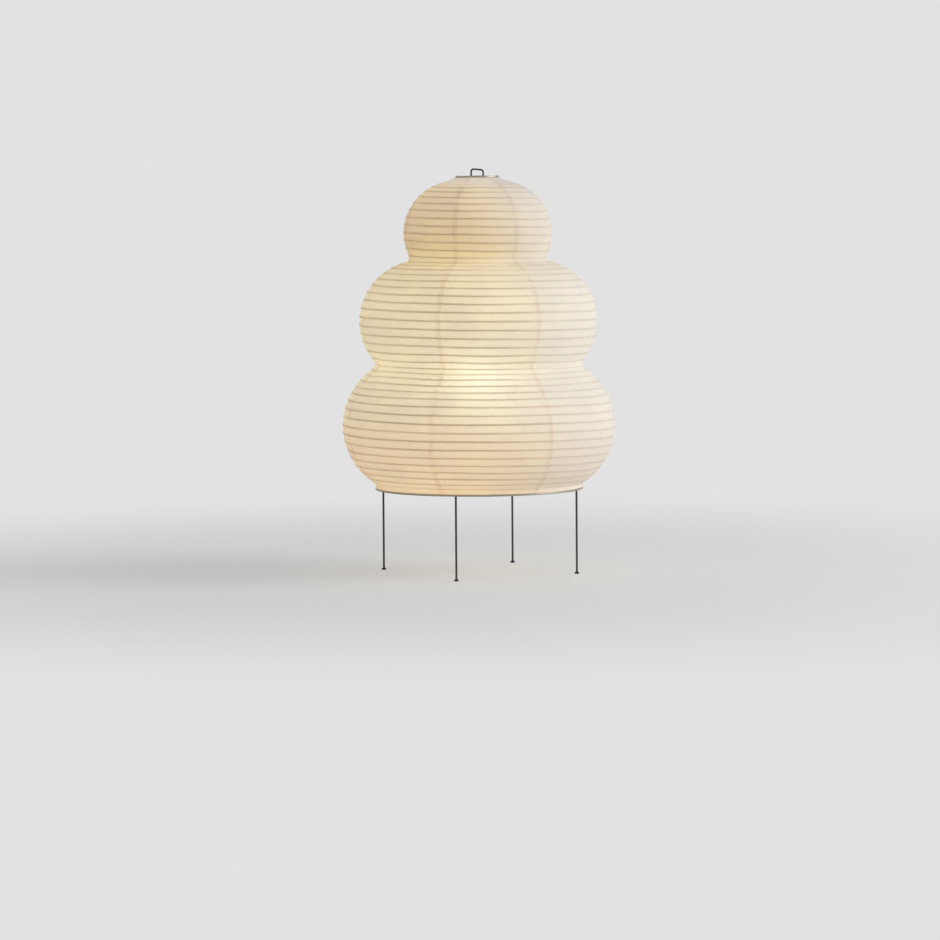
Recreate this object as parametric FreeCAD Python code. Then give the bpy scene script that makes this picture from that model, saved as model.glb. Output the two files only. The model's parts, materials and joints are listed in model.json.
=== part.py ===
"""Floor lamp with a three-lobed paper lantern on a stand of four bent wires.

Millimetres, +Z up. The origin is on the floor, on the lantern's axis. Two legs and the carrier that
holds the lantern open stand in the XZ plane; the other two legs stand close to the YZ plane.
"""
import FreeCAD, Part
import math
import os

Vector = FreeCAD.Vector
UP = Vector(0, 0, 1)
ORIGIN = Vector(0, 0, 0)

# Running gaps and cutting allowance
overrun = 2.0            # how far a cutting body reaches past what it cuts
seat_gap = 0.3           # between pieces that rest or slide on each other
slip_gap = 0.1           # on each side of a tube or wire in its hole

# Stand: four legs, each one wire from the foot up and then in to the hub
leg_wire = 3.0           # diameter
leg_circle_radius = 146.5
arm_height = 137.0       # centre line of the level part of a leg
leg_bend = 8.0
leg_angles = [0.0, 86.4, 180.0, 272.7]  # degrees from +X, each leg where it was welded
foot_tip_diameter = 6.2
foot_tip_height = 2.6
foot_tip_floor = 1.0     # thickness under the end of the wire

# Hub and the threaded tube through it
hub_diameter = 24.0
hub_height = 12.0
stem_diameter = 10.0
stem_bore = 7.0
stem_below_hub = 6.0
stem_nut_width = 14.0    # across flats
stem_nut_height = 3.0
bush_flange_diameter = 13.0
bush_flange_height = 2.0
bush_sleeve_height = 5.0
bush_bore = 5.0          # the way in for the cord

# Lamp holder
holder_above_nut = 26.0  # the bare stem between the upper nut and the holder
contact_width = 6.0
contact_thickness = 0.7
contact_rise = 3.7       # from the insert up to the tip
insert_diameter = 32.0
insert_height = 10.0
holder_diameter = 39.0
holder_wall = 2.2
holder_cap_height = 23.0
holder_cap_side = 9.0    # the straight part of the cap under its rim
holder_neck_diameter = 15.0
holder_neck_height = 8.0
holder_skirt_height = 27.0
holder_lip = 2.6         # the rim of the skirt, turned in over the screw shell
holder_lip_height = 2.4
screw_shell_wall = 0.5
screw_shell_height = 22.0

# Bulb
bulb_diameter = 60.0
bulb_length = 108.0
bulb_neck_diameter = 24.0
bulb_neck_curve = 40.0   # radius of the hollow curve from neck to globe
bulb_wall = 0.8
bulb_cap_diameter = 26.4
bulb_cap_wall = 0.6
bulb_cap_height = 24.0
bulb_neck_in_cap = 9.0
bulb_tip_diameter = 9.6
bulb_tip_height = 1.0
bulb_insulator_height = 3.4

# Carrier: two wires that stand on the arms, and the loop between them that shows above the lantern
carrier_wire = 2.5
carrier_half_width = 36.0
carrier_shoulder_bend = 6.0
loop_half_width = 9.0
loop_rise = 13.8         # top face of the wire at its high corner, above the lantern's top ring
loop_slant = 1.5         # how much lower the loop's other corner is
loop_bend = 3.4
socket_diameter = 5.2
socket_height = 14.0

# Lantern outline: each lobe's widest radius, the height of that place, and the radius of its curve
lower_lobe_radius = 198.5
lower_lobe_height = 215.0
lower_lobe_curve = 99.5
middle_lobe_radius = 173.2
middle_lobe_rise = 151.0  # above the lower lobe
middle_lobe_curve = 89.5
top_lobe_radius = 108.0
top_lobe_rise = 128.0     # above the middle lobe
top_lobe_curve = 76.0
top_rim_radius = 31.2
top_rim_rise = 6.3        # above the first rib
first_rib_radius = 47.8
last_rib_radius = 151.6
upper_neck_curve = 2.5
lower_neck_curve = 5.0
paper_thickness = 0.4

# Paper and ribs
gore_count = 7
first_seam_angle = -43.2  # degrees from +X
strip_to_rib = 2.0       # from the edge of the plain strip at each rim to the rib's end
turns_to_upper_neck = 12.36
turns_to_lower_neck = 27.9
turns_to_shoulder = 33.0  # of the lower lobe
shoulder_share = 0.274   # how far down the lower lobe that is, from its neck to the last rib
rib_turns = 45
rib_height = 1.6         # upright side of the split strip
rib_depth = 1.2
rib_gap = 0.3            # between the paper and the nearest corner of the rib

# Rings and bridge of the lantern
top_ring_wire = 2.6
bridge_wire = 2.6
bridge_half_spacing = 14.0
bottom_ring_wire = 3.0
bottom_ring_height = 123.0

# Shares that set how finely a curve is followed
quarter_turn_share = 0.25
tangent_step_share = 0.001


# Shared shapes

def at(radius, height, angle=0.0):
    """The point at a radius and height, turned about the axis by an angle in radians."""
    return Vector(radius * math.cos(angle), radius * math.sin(angle), height)


def turned(corners):
    """A ring-shaped or round solid, turned from a closed outline of (radius, height) corners."""
    points = [at(radius, height) for radius, height in corners]
    outline = Part.makePolygon(points + points[:1])
    return Part.Face(outline).revolve(ORIGIN, UP, 360)


def tube(outer, bore, bottom, top):
    """An upright tube on the axis, from its two diameters."""
    return turned([(bore / 2, bottom), (outer / 2, bottom), (outer / 2, top), (bore / 2, top)])


def upright(diameter, base, height):
    """A solid upright cylinder on a base point."""
    return Part.makeCylinder(diameter / 2, height, base, UP)


def bent_path(corners, bends):
    """Straight runs joined by tangent arcs, one bend radius for each inner corner."""
    edges = []
    start = corners[0]
    for before, corner, after, bend in zip(corners, corners[1:], corners[2:], bends):
        incoming = (corner - before).normalize()
        outgoing = (after - corner).normalize()
        half_turn = incoming.getAngle(outgoing) / 2
        setback = bend * math.tan(half_turn)
        inward = (outgoing - incoming).normalize()
        centre = corner + inward * (bend / math.cos(half_turn))
        arc_start = corner - incoming * setback
        arc_end = corner + outgoing * setback
        edges.append(Part.LineSegment(start, arc_start).toShape())
        edges.append(Part.Arc(arc_start, centre - inward * bend, arc_end).toShape())
        start = arc_end
    edges.append(Part.LineSegment(start, corners[-1]).toShape())
    return Part.Wire(edges)


def bent_wire(corners, bends, diameter):
    """A round wire bent along a path."""
    path = bent_path(corners, bends)
    direction = (corners[1] - corners[0]).normalize()
    section = Part.Wire(Part.makeCircle(diameter / 2, corners[0], direction))
    return path.makePipeShell([section], True, False)


def copies_round_axis(shape, angles):
    """The same solid turned about the axis to each of its angles, with a number for each."""
    for number, angle in enumerate(angles, start=1):
        copy = shape.copy()
        copy.rotate(ORIGIN, UP, angle)
        yield number, copy


# Outline of the lantern

class Outline:
    """The line from the first rib down to the last: three lobe arcs, with a hollow arc in each neck."""

    def __init__(self):
        lower = (lower_lobe_radius - lower_lobe_curve, lower_lobe_height)
        middle = (middle_lobe_radius - middle_lobe_curve, lower_lobe_height + middle_lobe_rise)
        top = (top_lobe_radius - top_lobe_curve, lower_lobe_height + middle_lobe_rise + top_lobe_rise)
        upper_neck = self.crossing(
            top, top_lobe_curve + upper_neck_curve, middle, middle_lobe_curve + upper_neck_curve)
        lower_neck = self.crossing(
            middle, middle_lobe_curve + lower_neck_curve, lower, lower_lobe_curve + lower_neck_curve)
        first_rise = math.acos((first_rib_radius - top[0]) / top_lobe_curve)
        last_drop = math.acos((last_rib_radius - lower[0]) / lower_lobe_curve)
        self.arcs = [
            (top, top_lobe_curve, first_rise, self.angle(top, upper_neck)),
            self.neck(upper_neck, upper_neck_curve, top, middle),
            (middle, middle_lobe_curve, self.angle(middle, upper_neck), self.angle(middle, lower_neck)),
            self.neck(lower_neck, lower_neck_curve, middle, lower),
            (lower, lower_lobe_curve, self.angle(lower, lower_neck), -last_drop),
        ]
        self.lengths = [radius * abs(start - end) for centre, radius, start, end in self.arcs]
        self.upper_neck_length = self.lengths[0] + self.lengths[1] / 2
        self.lower_neck_length = sum(self.lengths[:3]) + self.lengths[3] / 2
        self.whole_length = sum(self.lengths)

    @staticmethod
    def crossing(first, first_radius, second, second_radius):
        """The outer one of the two points where two circles cross."""
        across = (second[0] - first[0], second[1] - first[1])
        apart = math.hypot(*across)
        along = (apart ** 2 + first_radius ** 2 - second_radius ** 2) / (2 * apart)
        aside = math.sqrt(first_radius ** 2 - along ** 2)
        foot = (first[0] + across[0] * along / apart, first[1] + across[1] * along / apart)
        return (foot[0] - across[1] * aside / apart, foot[1] + across[0] * aside / apart)

    @staticmethod
    def angle(centre, point):
        """The direction from a centre to a point, up from level."""
        return math.atan2(point[1] - centre[1], point[0] - centre[0])

    @classmethod
    def neck(cls, centre, radius, above, below):
        """The hollow arc that joins two lobes, turning from one to the other past the inward side."""
        return (centre, radius, cls.angle(centre, above), cls.angle(centre, below) + math.tau)

    def place(self, length, inset=0.0):
        """Radius and height at a length down the outline, moved inward by an inset."""
        for (centre, radius, start, end), span in zip(self.arcs, self.lengths):
            if length <= span or end == self.arcs[-1][3]:
                sense = math.copysign(1, end - start)
                angle = start + sense * length / radius
                reach = radius + sense * inset
                return centre[0] + reach * math.cos(angle), centre[1] + reach * math.sin(angle)
            length -= span


outline = Outline()
rib_inset = paper_thickness + rib_gap + math.hypot(rib_height, rib_depth) / 2
top_rim_height = outline.place(0)[1] + top_rim_rise
top_ring_radius = top_rim_radius - seat_gap - top_ring_wire / 2
top_ring_height = top_rim_height - paper_thickness / 2
bridge_height = top_ring_height - (top_ring_wire + bridge_wire) / 2
shoulder_height = bridge_height - (bridge_wire + carrier_wire) / 2 - seat_gap
bottom_ring_radius = leg_circle_radius + (leg_wire + bottom_ring_wire) / 2 + seat_gap
bottom_rim_height = bottom_ring_height + bottom_ring_wire / 2 + seat_gap


def length_at_turn(turn):
    """How far down the outline the rib lies after so many turns, at an even pitch between the stops."""
    neck, end = outline.lower_neck_length, outline.whole_length
    stops = [
        (0, 0),
        (turns_to_upper_neck, outline.upper_neck_length),
        (turns_to_lower_neck, neck),
        (turns_to_shoulder, neck + shoulder_share * (end - neck)),
        (rib_turns, end),
    ]
    for (turn_above, length_above), (turn_below, length_below) in zip(stops, stops[1:]):
        if turn <= turn_below:
            share = (turn - turn_above) / (turn_below - turn_above)
            return length_above + share * (length_below - length_above)
    return length_below


def spiral_point(turn, inset=0.0):
    """A point of the spiral that the rib follows down the lantern."""
    radius, height = outline.place(length_at_turn(turn), inset)
    return at(radius, height, math.radians(first_seam_angle) + math.tau * turn)


# Stand

def leg():
    """A leg wire on the +X side, from the floor of its foot tip to the side of the hub."""
    corners = [
        at(leg_circle_radius, foot_tip_floor),
        at(leg_circle_radius, arm_height),
        at(hub_diameter / 2, arm_height),
    ]
    return bent_wire(corners, [leg_bend], leg_wire)


def foot_tip():
    """A small cap on the foot of the +X leg, with a blind hole for the wire."""
    base = at(leg_circle_radius, 0)
    hole = upright(leg_wire + 2 * slip_gap, base + UP * foot_tip_floor, foot_tip_height)
    return upright(foot_tip_diameter, base, foot_tip_height).cut(hole)


def hub():
    """The collar that the four arms are welded to."""
    bottom = arm_height - hub_height / 2
    return tube(hub_diameter, stem_diameter + 2 * slip_gap, bottom, bottom + hub_height)


def hexagon_nut(bottom):
    """A thin nut on the stem."""
    corner_radius = stem_nut_width / 2 / math.cos(math.pi / 6)
    corners = [at(corner_radius, bottom, index * math.pi / 3) for index in range(6)]
    blank = Part.Face(Part.makePolygon(corners + corners[:1])).extrude(UP * stem_nut_height)
    hole_base = Vector(0, 0, bottom - overrun)
    return blank.cut(upright(stem_diameter + 2 * slip_gap, hole_base, stem_nut_height + 2 * overrun))


def cord_bush():
    """The plastic bush in the lower end of the stem, where the cord goes in."""
    stem_end = arm_height - hub_height / 2 - stem_below_hub
    sleeve = stem_bore / 2 - slip_gap
    return turned([
        (bush_bore / 2, stem_end - bush_flange_height),
        (bush_flange_diameter / 2, stem_end - bush_flange_height),
        (bush_flange_diameter / 2, stem_end),
        (sleeve, stem_end),
        (sleeve, stem_end + bush_sleeve_height),
        (bush_bore / 2, stem_end + bush_sleeve_height),
    ])


def carrier_socket():
    """The short tube welded on the +X arm, which the carrier stands in."""
    base = at(carrier_half_width, arm_height + leg_wire / 2)
    bore = upright(carrier_wire + 2 * slip_gap, base - UP * overrun, socket_height + 2 * overrun)
    return upright(socket_diameter, base, socket_height).cut(bore)


def carrier_side():
    """The carrier's wire on the +X side: up beside the bulb, then in under the bridge to the loop."""
    corners = [
        at(carrier_half_width, arm_height + leg_wire / 2),
        at(carrier_half_width, shoulder_height),
        at(loop_half_width + carrier_wire / 2, shoulder_height),
    ]
    return bent_wire(corners, [carrier_shoulder_bend], carrier_wire)


def lifting_loop():
    """The bent wire that is welded between the carrier's sides and shows above the lantern."""
    foot = shoulder_height - carrier_wire / 2
    top = top_ring_height + loop_rise - carrier_wire / 2
    corners = [
        at(-loop_half_width, foot),
        at(-loop_half_width, top),
        at(loop_half_width, top - loop_slant),
        at(loop_half_width, foot),
    ]
    return bent_wire(corners, [loop_bend, loop_bend], carrier_wire)


# Lamp holder

cap_bottom = arm_height + hub_height / 2 + stem_nut_height + holder_above_nut
holder_rim = cap_bottom + holder_cap_height
insert_top = holder_rim
insert_bottom = insert_top - insert_height
stem_top = cap_bottom + holder_neck_height + holder_wall


def holder_cap():
    """The cup that screws on the stem, with the ledge that the insert lies on."""
    neck_top = cap_bottom + holder_neck_height
    side_bottom = holder_rim - holder_cap_side
    neck_hole = stem_diameter / 2 + slip_gap
    return turned([
        (neck_hole, cap_bottom),
        (holder_neck_diameter / 2, cap_bottom),
        (holder_neck_diameter / 2, neck_top),
        (holder_diameter / 2, side_bottom),
        (holder_diameter / 2, holder_rim),
        (insert_diameter / 2 + slip_gap, holder_rim),
        (insert_diameter / 2 + slip_gap, insert_bottom),
        (insert_diameter / 2 - holder_wall, insert_bottom),
        (holder_neck_diameter / 2, neck_top + holder_wall),
        (neck_hole, neck_top + holder_wall),
    ])


def holder_insert():
    """The ceramic disc that carries the contact and the screw shell."""
    return upright(insert_diameter, Vector(0, 0, insert_bottom), insert_height)


def centre_contact():
    """The sprung tongue under the bulb's tip: a strip with a raised end."""
    half = contact_width / 2
    reach = bulb_cap_diameter / 2 - contact_width / 2
    top = insert_top + contact_rise
    profile = [
        Vector(-reach, -half, insert_top),
        Vector(-half, -half, insert_top),
        Vector(half, -half, top - contact_thickness),
        Vector(half, -half, top),
        Vector(-half, -half, top),
        Vector(-half - contact_thickness, -half, insert_top + contact_thickness),
        Vector(-reach, -half, insert_top + contact_thickness),
    ]
    side = Part.Face(Part.makePolygon(profile + profile[:1]))
    return side.extrude(Vector(0, contact_width, 0))


def screw_shell():
    """The threaded sleeve of the holder, drawn at its thread's inner diameter."""
    inner = bulb_cap_diameter + 2 * seat_gap
    return tube(inner + 2 * screw_shell_wall, inner, insert_top, insert_top + screw_shell_height)


def holder_skirt():
    """The sleeve round the screw shell, with its rim turned in."""
    outer = holder_diameter / 2
    inner = outer - holder_wall
    top = holder_rim + holder_skirt_height
    return turned([
        (inner, holder_rim),
        (outer, holder_rim),
        (outer, top),
        (inner - holder_lip, top),
        (inner - holder_lip, top - holder_lip_height),
        (inner, top - holder_lip_height),
    ])


# Bulb

bulb_tip_bottom = insert_top + contact_rise + seat_gap
insulator_bottom = bulb_tip_bottom + bulb_tip_height
bulb_cap_bottom = insulator_bottom + bulb_insulator_height
bulb_cap_top = bulb_cap_bottom + bulb_cap_height
globe_height = bulb_tip_bottom + bulb_length - bulb_diameter / 2


def bulb_side(wall):
    """The glass's line from neck end to crown, set in from its outer face by a wall."""
    neck = bulb_neck_diameter / 2 - wall
    globe = bulb_diameter / 2 - wall
    curve = bulb_neck_curve + wall
    curve_drop = math.sqrt((globe + curve) ** 2 - (neck + curve) ** 2)
    meeting = math.atan2(-curve_drop, neck + curve)
    curve_centre = at(neck + curve, globe_height - curve_drop)
    globe_centre = at(0, globe_height)

    def on_globe(angle):
        return globe_centre + Vector(math.cos(angle), 0, math.sin(angle)) * globe

    def on_curve(angle):
        return curve_centre - Vector(math.cos(angle), 0, math.sin(angle)) * curve

    neck_end = at(neck, bulb_cap_top - bulb_neck_in_cap)
    return [
        Part.LineSegment(neck_end, on_curve(0)).toShape(),
        Part.Arc(on_curve(0), on_curve(meeting / 2), on_curve(meeting)).toShape(),
        Part.Arc(on_globe(meeting), on_globe(0), on_globe(math.pi / 2)).toShape(),
    ]


def bulb_glass():
    """The frosted glass: a blown shell, open at the neck inside the cap."""
    outside = bulb_side(0.0)
    inside = bulb_side(bulb_wall)
    crown = Part.LineSegment(outside[-1].lastVertex().Point, inside[-1].lastVertex().Point).toShape()
    neck_end = Part.LineSegment(outside[0].firstVertex().Point, inside[0].firstVertex().Point).toShape()
    ring = Part.Wire(Part.__sortEdges__(outside + inside + [crown, neck_end]))
    return Part.Face(ring).revolve(ORIGIN, UP, 360)


def bulb_cap():
    """The metal screw cap of the bulb, an open cup over the insulator."""
    outer = bulb_cap_diameter / 2
    inner = outer - bulb_cap_wall
    return turned([
        (bulb_tip_diameter / 2 + bulb_cap_wall, bulb_cap_bottom),
        (outer, bulb_cap_bottom),
        (outer, bulb_cap_top),
        (inner, bulb_cap_top),
        (inner, bulb_cap_bottom + bulb_cap_wall),
        (bulb_tip_diameter / 2 + bulb_cap_wall, bulb_cap_bottom + bulb_cap_wall),
    ])


def bulb_insulator():
    """The black glass cone between the cap and the tip."""
    return turned([
        (0, insulator_bottom),
        (bulb_tip_diameter / 2, insulator_bottom),
        (bulb_cap_diameter / 2 - bulb_cap_wall, bulb_cap_bottom),
        (0, bulb_cap_bottom),
    ])


def bulb_tip():
    """The contact at the bottom of the bulb."""
    return upright(bulb_tip_diameter, Vector(0, 0, bulb_tip_bottom), bulb_tip_height)


# Lantern

def biarc(start, start_way, end, end_way):
    """Two arcs that leave start along start_way and reach end along end_way without a corner."""
    span = end - start
    both = start_way + end_way
    spread = 2 * (1 - start_way.dot(end_way))
    pull = span.dot(both)
    reach = (math.sqrt(pull ** 2 + spread * span.dot(span)) - pull) / spread
    joint = (start + end + (start_way - end_way) * reach) / 2
    return [
        arc_between(start, start + start_way * reach, joint),
        arc_between(joint, end - end_way * reach, end),
    ]


def arc_between(start, corner, end):
    """The arc from start to end that touches the lines through the corner."""
    middle = (start + end) / 2
    half_turn = (corner - start).getAngle(end - start)
    share = math.tan(half_turn / 2) / math.tan(half_turn)
    return Part.Arc(start, middle + (corner - middle) * share, end).toShape()


def rib_spiral():
    """The one split-bamboo rib, wound down the inside of the paper from rim to rim."""
    def way(turn):
        before = spiral_point(max(turn - tangent_step_share, 0), rib_inset)
        after = spiral_point(min(turn + tangent_step_share, rib_turns), rib_inset)
        return (after - before).normalize()

    stations = [index * quarter_turn_share for index in range(round(rib_turns / quarter_turn_share) + 1)]
    first, last = spiral_point(0, rib_inset), spiral_point(rib_turns, rib_inset)
    edges = [Part.LineSegment(first - way(0) * rib_height, first).toShape()]
    for turn, next_turn in zip(stations, stations[1:]):
        here, there = spiral_point(turn, rib_inset), spiral_point(next_turn, rib_inset)
        edges += biarc(here, way(turn), there, way(next_turn))
    edges.append(Part.LineSegment(last, last + way(rib_turns) * rib_height).toShape())
    start = first - way(0) * rib_height
    outward = way(0).cross(UP).normalize()
    upward = outward.cross(way(0))
    corners = [
        start + outward * (side * rib_depth / 2) + upward * (rise * rib_height / 2)
        for side, rise in ((1, 1), (1, -1), (-1, -1), (-1, 1))
    ]
    sweep = Part.BRepOffsetAPI.MakePipeShell(Part.Wire(edges))
    sweep.setBiNormalMode(UP)
    sweep.add(Part.makePolygon(corners + corners[:1]))
    sweep.build()
    sweep.makeSolid()
    return sweep.shape()


def rib_self_gap():
    """The least gap between one turn of the rib and the next, from points along it."""
    step = quarter_turn_share / 2
    stations = [index * step for index in range(round((rib_turns - 1) / step))]
    gaps = [
        spiral_point(turn + 1, rib_inset).distanceToPoint(spiral_point(turn, rib_inset))
        for turn in stations
    ]
    return min(gaps) - math.hypot(rib_height, rib_depth)


def gore(index):
    """One paper strip between two seams, drawn tight from each turn of the rib to the next."""
    first_turn, last_turn = index / gore_count, (index + 1) / gore_count
    middle_turn = (first_turn + last_turn) / 2
    bottom_rim_radius = bottom_ring_radius + bottom_ring_wire / 2

    def rim_arc(radius, height):
        turns = (first_turn, middle_turn, last_turn)
        angles = [math.radians(first_seam_angle) + math.tau * turn for turn in turns]
        return Part.Arc(*[at(radius, height, angle) for angle in angles]).toShape()

    def lines(inset):
        top_lines = [
            rim_arc(top_rim_radius, top_rim_height - inset),
            rim_arc(*outline.place(-strip_to_rib, inset)),
        ]
        last_line = rim_arc(*outline.place(outline.whole_length + strip_to_rib, inset))
        ribs = []
        for turn in range(rib_turns):
            points = [spiral_point(turn + share, inset) for share in (first_turn, middle_turn, last_turn)]
            ribs.append(Part.Arc(*points).toShape())
        return top_lines + ribs + [last_line, rim_arc(bottom_rim_radius - inset, bottom_rim_height)]

    outside = lines(0.0)
    inside = lines(paper_thickness)
    faces = []
    for side in (outside, inside):
        faces += [Part.makeRuledSurface(above, below) for above, below in zip(side, side[1:])]
    faces.append(Part.makeRuledSurface(outside[0], inside[0]))
    faces.append(Part.makeRuledSurface(outside[-1], inside[-1]))
    for end in (0, -1):
        corners = [line.Vertexes[end].Point for line in outside]
        corners += [line.Vertexes[end].Point for line in reversed(inside)]
        faces.append(Part.Face(Part.makePolygon(corners + corners[:1])))
    shell = Part.Compound(faces)
    shell.sewShape()
    return Part.Solid(shell.Shells[0])


def wire_ring(radius, height, diameter):
    """A level ring of round wire."""
    return Part.makeTorus(radius, diameter / 2, Vector(0, 0, height), UP)


def bridge_bar(side):
    """One of the two bars under the top ring, either side of the lifting loop."""
    half_length = math.sqrt(top_ring_radius ** 2 - bridge_half_spacing ** 2)
    start = Vector(side * bridge_half_spacing, -half_length, bridge_height)
    return Part.makeCylinder(bridge_wire / 2, 2 * half_length, start, Vector(0, 1, 0))


def all_pieces():
    """Every node's name and solid."""
    hub_bottom = arm_height - hub_height / 2
    pieces = {}
    for number, shape in copies_round_axis(leg(), leg_angles):
        pieces[f"leg_{number}"] = shape
    for number, shape in copies_round_axis(foot_tip(), leg_angles):
        pieces[f"foot_tip_{number}"] = shape
    pieces["hub"] = hub()
    pieces["stem_tube"] = tube(stem_diameter, stem_bore, hub_bottom - stem_below_hub, stem_top)
    pieces["stem_nut_lower"] = hexagon_nut(hub_bottom - stem_nut_height)
    pieces["stem_nut_upper"] = hexagon_nut(hub_bottom + hub_height)
    pieces["cord_bush"] = cord_bush()
    for number, shape in copies_round_axis(carrier_socket(), leg_angles[::2]):
        pieces[f"carrier_socket_{number}"] = shape
    for number, shape in copies_round_axis(carrier_side(), leg_angles[::2]):
        pieces[f"carrier_side_{number}"] = shape
    pieces["lifting_loop"] = lifting_loop()
    pieces["holder_cap"] = holder_cap()
    pieces["holder_insert"] = holder_insert()
    pieces["centre_contact"] = centre_contact()
    pieces["screw_shell"] = screw_shell()
    pieces["holder_skirt"] = holder_skirt()
    pieces["bulb_glass"] = bulb_glass()
    pieces["bulb_cap"] = bulb_cap()
    pieces["bulb_insulator"] = bulb_insulator()
    pieces["bulb_tip"] = bulb_tip()
    for index in range(gore_count):
        pieces[f"paper_gore_{index + 1}"] = gore(index)
    pieces["rib_spiral"] = rib_spiral()
    pieces["top_ring"] = wire_ring(top_ring_radius, top_ring_height, top_ring_wire)
    pieces["bridge_bar_1"] = bridge_bar(1)
    pieces["bridge_bar_2"] = bridge_bar(-1)
    pieces["bottom_ring"] = wire_ring(bottom_ring_radius, bottom_ring_height, bottom_ring_wire)
    return pieces


os.makedirs("parts", exist_ok=True)
for name, shape in all_pieces().items():
    shape.exportStep(f"parts/{name}.step")
print("least gap between turns of the rib:", round(rib_self_gap(), 2), "mm")
print("lantern height:", round(top_rim_height - bottom_rim_height, 1), "mm")
print("folded height:", round(rib_turns * rib_height, 1), "mm")
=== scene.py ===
# %% [markdown]
# # A paper floor lamp
#
# This lesson dresses a lamp that is already built as solids: a three-lobed paper lantern that hangs
# on a wire carrier, over four thin legs. The solids give every place and size. Blender adds what a
# solid can't: paper that is creased, lapped and lit from inside, a hand-wound rib, and the finish of
# each wire. Everything is in metres, with Z up and the floor at zero.

# %% Load the frame
import json
import math
import bpy
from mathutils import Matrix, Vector, noise


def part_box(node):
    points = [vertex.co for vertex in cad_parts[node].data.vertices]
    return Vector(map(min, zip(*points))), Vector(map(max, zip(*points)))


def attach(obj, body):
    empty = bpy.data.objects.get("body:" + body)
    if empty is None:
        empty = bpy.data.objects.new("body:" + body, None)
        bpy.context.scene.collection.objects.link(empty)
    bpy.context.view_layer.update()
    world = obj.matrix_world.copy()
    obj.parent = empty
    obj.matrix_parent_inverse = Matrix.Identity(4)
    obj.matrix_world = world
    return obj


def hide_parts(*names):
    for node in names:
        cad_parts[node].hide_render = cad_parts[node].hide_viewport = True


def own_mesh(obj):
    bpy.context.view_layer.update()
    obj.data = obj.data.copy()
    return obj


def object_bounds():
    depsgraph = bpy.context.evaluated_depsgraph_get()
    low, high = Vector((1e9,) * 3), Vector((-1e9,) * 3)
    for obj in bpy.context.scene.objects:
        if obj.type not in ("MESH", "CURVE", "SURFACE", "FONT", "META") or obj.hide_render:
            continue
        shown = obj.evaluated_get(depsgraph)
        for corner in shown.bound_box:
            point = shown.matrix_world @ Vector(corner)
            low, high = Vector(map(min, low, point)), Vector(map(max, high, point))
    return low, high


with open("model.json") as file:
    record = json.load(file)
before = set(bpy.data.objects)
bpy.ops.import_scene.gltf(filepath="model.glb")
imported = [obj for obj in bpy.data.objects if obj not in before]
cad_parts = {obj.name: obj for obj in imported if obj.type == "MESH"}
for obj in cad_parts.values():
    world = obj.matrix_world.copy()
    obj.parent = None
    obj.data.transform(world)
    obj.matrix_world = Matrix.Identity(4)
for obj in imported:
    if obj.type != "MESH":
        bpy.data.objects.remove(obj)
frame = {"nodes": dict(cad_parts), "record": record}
cad_low, cad_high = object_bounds()
millimetre = 0.001
print("solids:", len(frame["nodes"]), "height:", round(cad_high.z - cad_low.z, 4))

# %% [markdown]
# ## The camera
#
# A long lens far away keeps the lobes free of distortion. Its place comes from the lamp's own feet:
# where four feet on a known circle land in a picture fixes the height, distance and turn of the
# camera. It looks down by about four degrees, so that the level rings show as thin ellipses.

# %% Place the camera
picture_side = 940
focal_length_in_pixels = 4488
sensor_width = 36
camera_place = (1.794, -6.276, 0.626)
camera_turn = math.radians(16.07)
camera_pitch = math.radians(4.18)
camera_roll = math.radians(-0.4)

bpy.ops.object.camera_add(location=camera_place, rotation=(math.pi / 2 - camera_pitch, 0, camera_turn))
camera = bpy.context.object
camera.rotation_euler.rotate_axis("Z", camera_roll)
camera.data.sensor_width = sensor_width
camera.data.lens = focal_length_in_pixels * sensor_width / picture_side
bpy.context.scene.camera = camera
bpy.context.scene.view_settings.view_transform = "Standard"
print("lens:", round(camera.data.lens, 1), "mm")

# %% [markdown]
# ## Studio light
#
# The lamp stands in soft light. The world gives most of it, a little more from the window side than
# from the far side. What the camera sees of the world is only its colour: the Light Path node lets
# that be set apart from the light that it gives.

# %% Light the world
fill_level = 0.505
fill_lean = 0.2
backdrop_grey = 0.76
window_way = (0.96, 0.28, 0)     # level, toward the window


def light_the_world():
    """An even world light, with its own shade for what the camera sees of it."""
    world = bpy.data.worlds.new("studio")
    bpy.context.scene.world = world
    world.use_nodes = True
    nodes, links = world.node_tree.nodes, world.node_tree.links
    nodes.clear()
    way = nodes.new("ShaderNodeVectorMath")
    way.operation = "DOT_PRODUCT"
    way.inputs[1].default_value = window_way
    links.new(nodes.new("ShaderNodeTexCoord").outputs["Generated"], way.inputs[0])
    lean = nodes.new("ShaderNodeMath")
    lean.operation = "MULTIPLY_ADD"
    lean.inputs[1].default_value = fill_level * fill_lean
    lean.inputs[2].default_value = fill_level
    links.new(way.outputs["Value"], lean.inputs[0])
    light = nodes.new("ShaderNodeBackground")
    links.new(lean.outputs[0], light.inputs["Strength"])
    seen = nodes.new("ShaderNodeBackground")
    seen.inputs["Color"].default_value = (backdrop_grey, backdrop_grey, backdrop_grey, 1)
    path = nodes.new("ShaderNodeLightPath")
    direct = nodes.new("ShaderNodeMath")
    direct.operation = "MAXIMUM"
    links.new(path.outputs["Is Camera Ray"], direct.inputs[0])
    links.new(path.outputs["Is Glossy Ray"], direct.inputs[1])
    mix = nodes.new("ShaderNodeMixShader")
    links.new(direct.outputs[0], mix.inputs["Fac"])
    links.new(light.outputs[0], mix.inputs[1])
    links.new(seen.outputs[0], mix.inputs[2])
    output = nodes.new("ShaderNodeOutputWorld")
    links.new(mix.outputs[0], output.inputs["Surface"])


light_the_world()

# %% [markdown]
# ## The window's light
#
# One large area lamp stands on the window side, a little cooler than the paper's own glow. Its size
# keeps the shading soft, and its side place gives the paper its round form.

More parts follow.
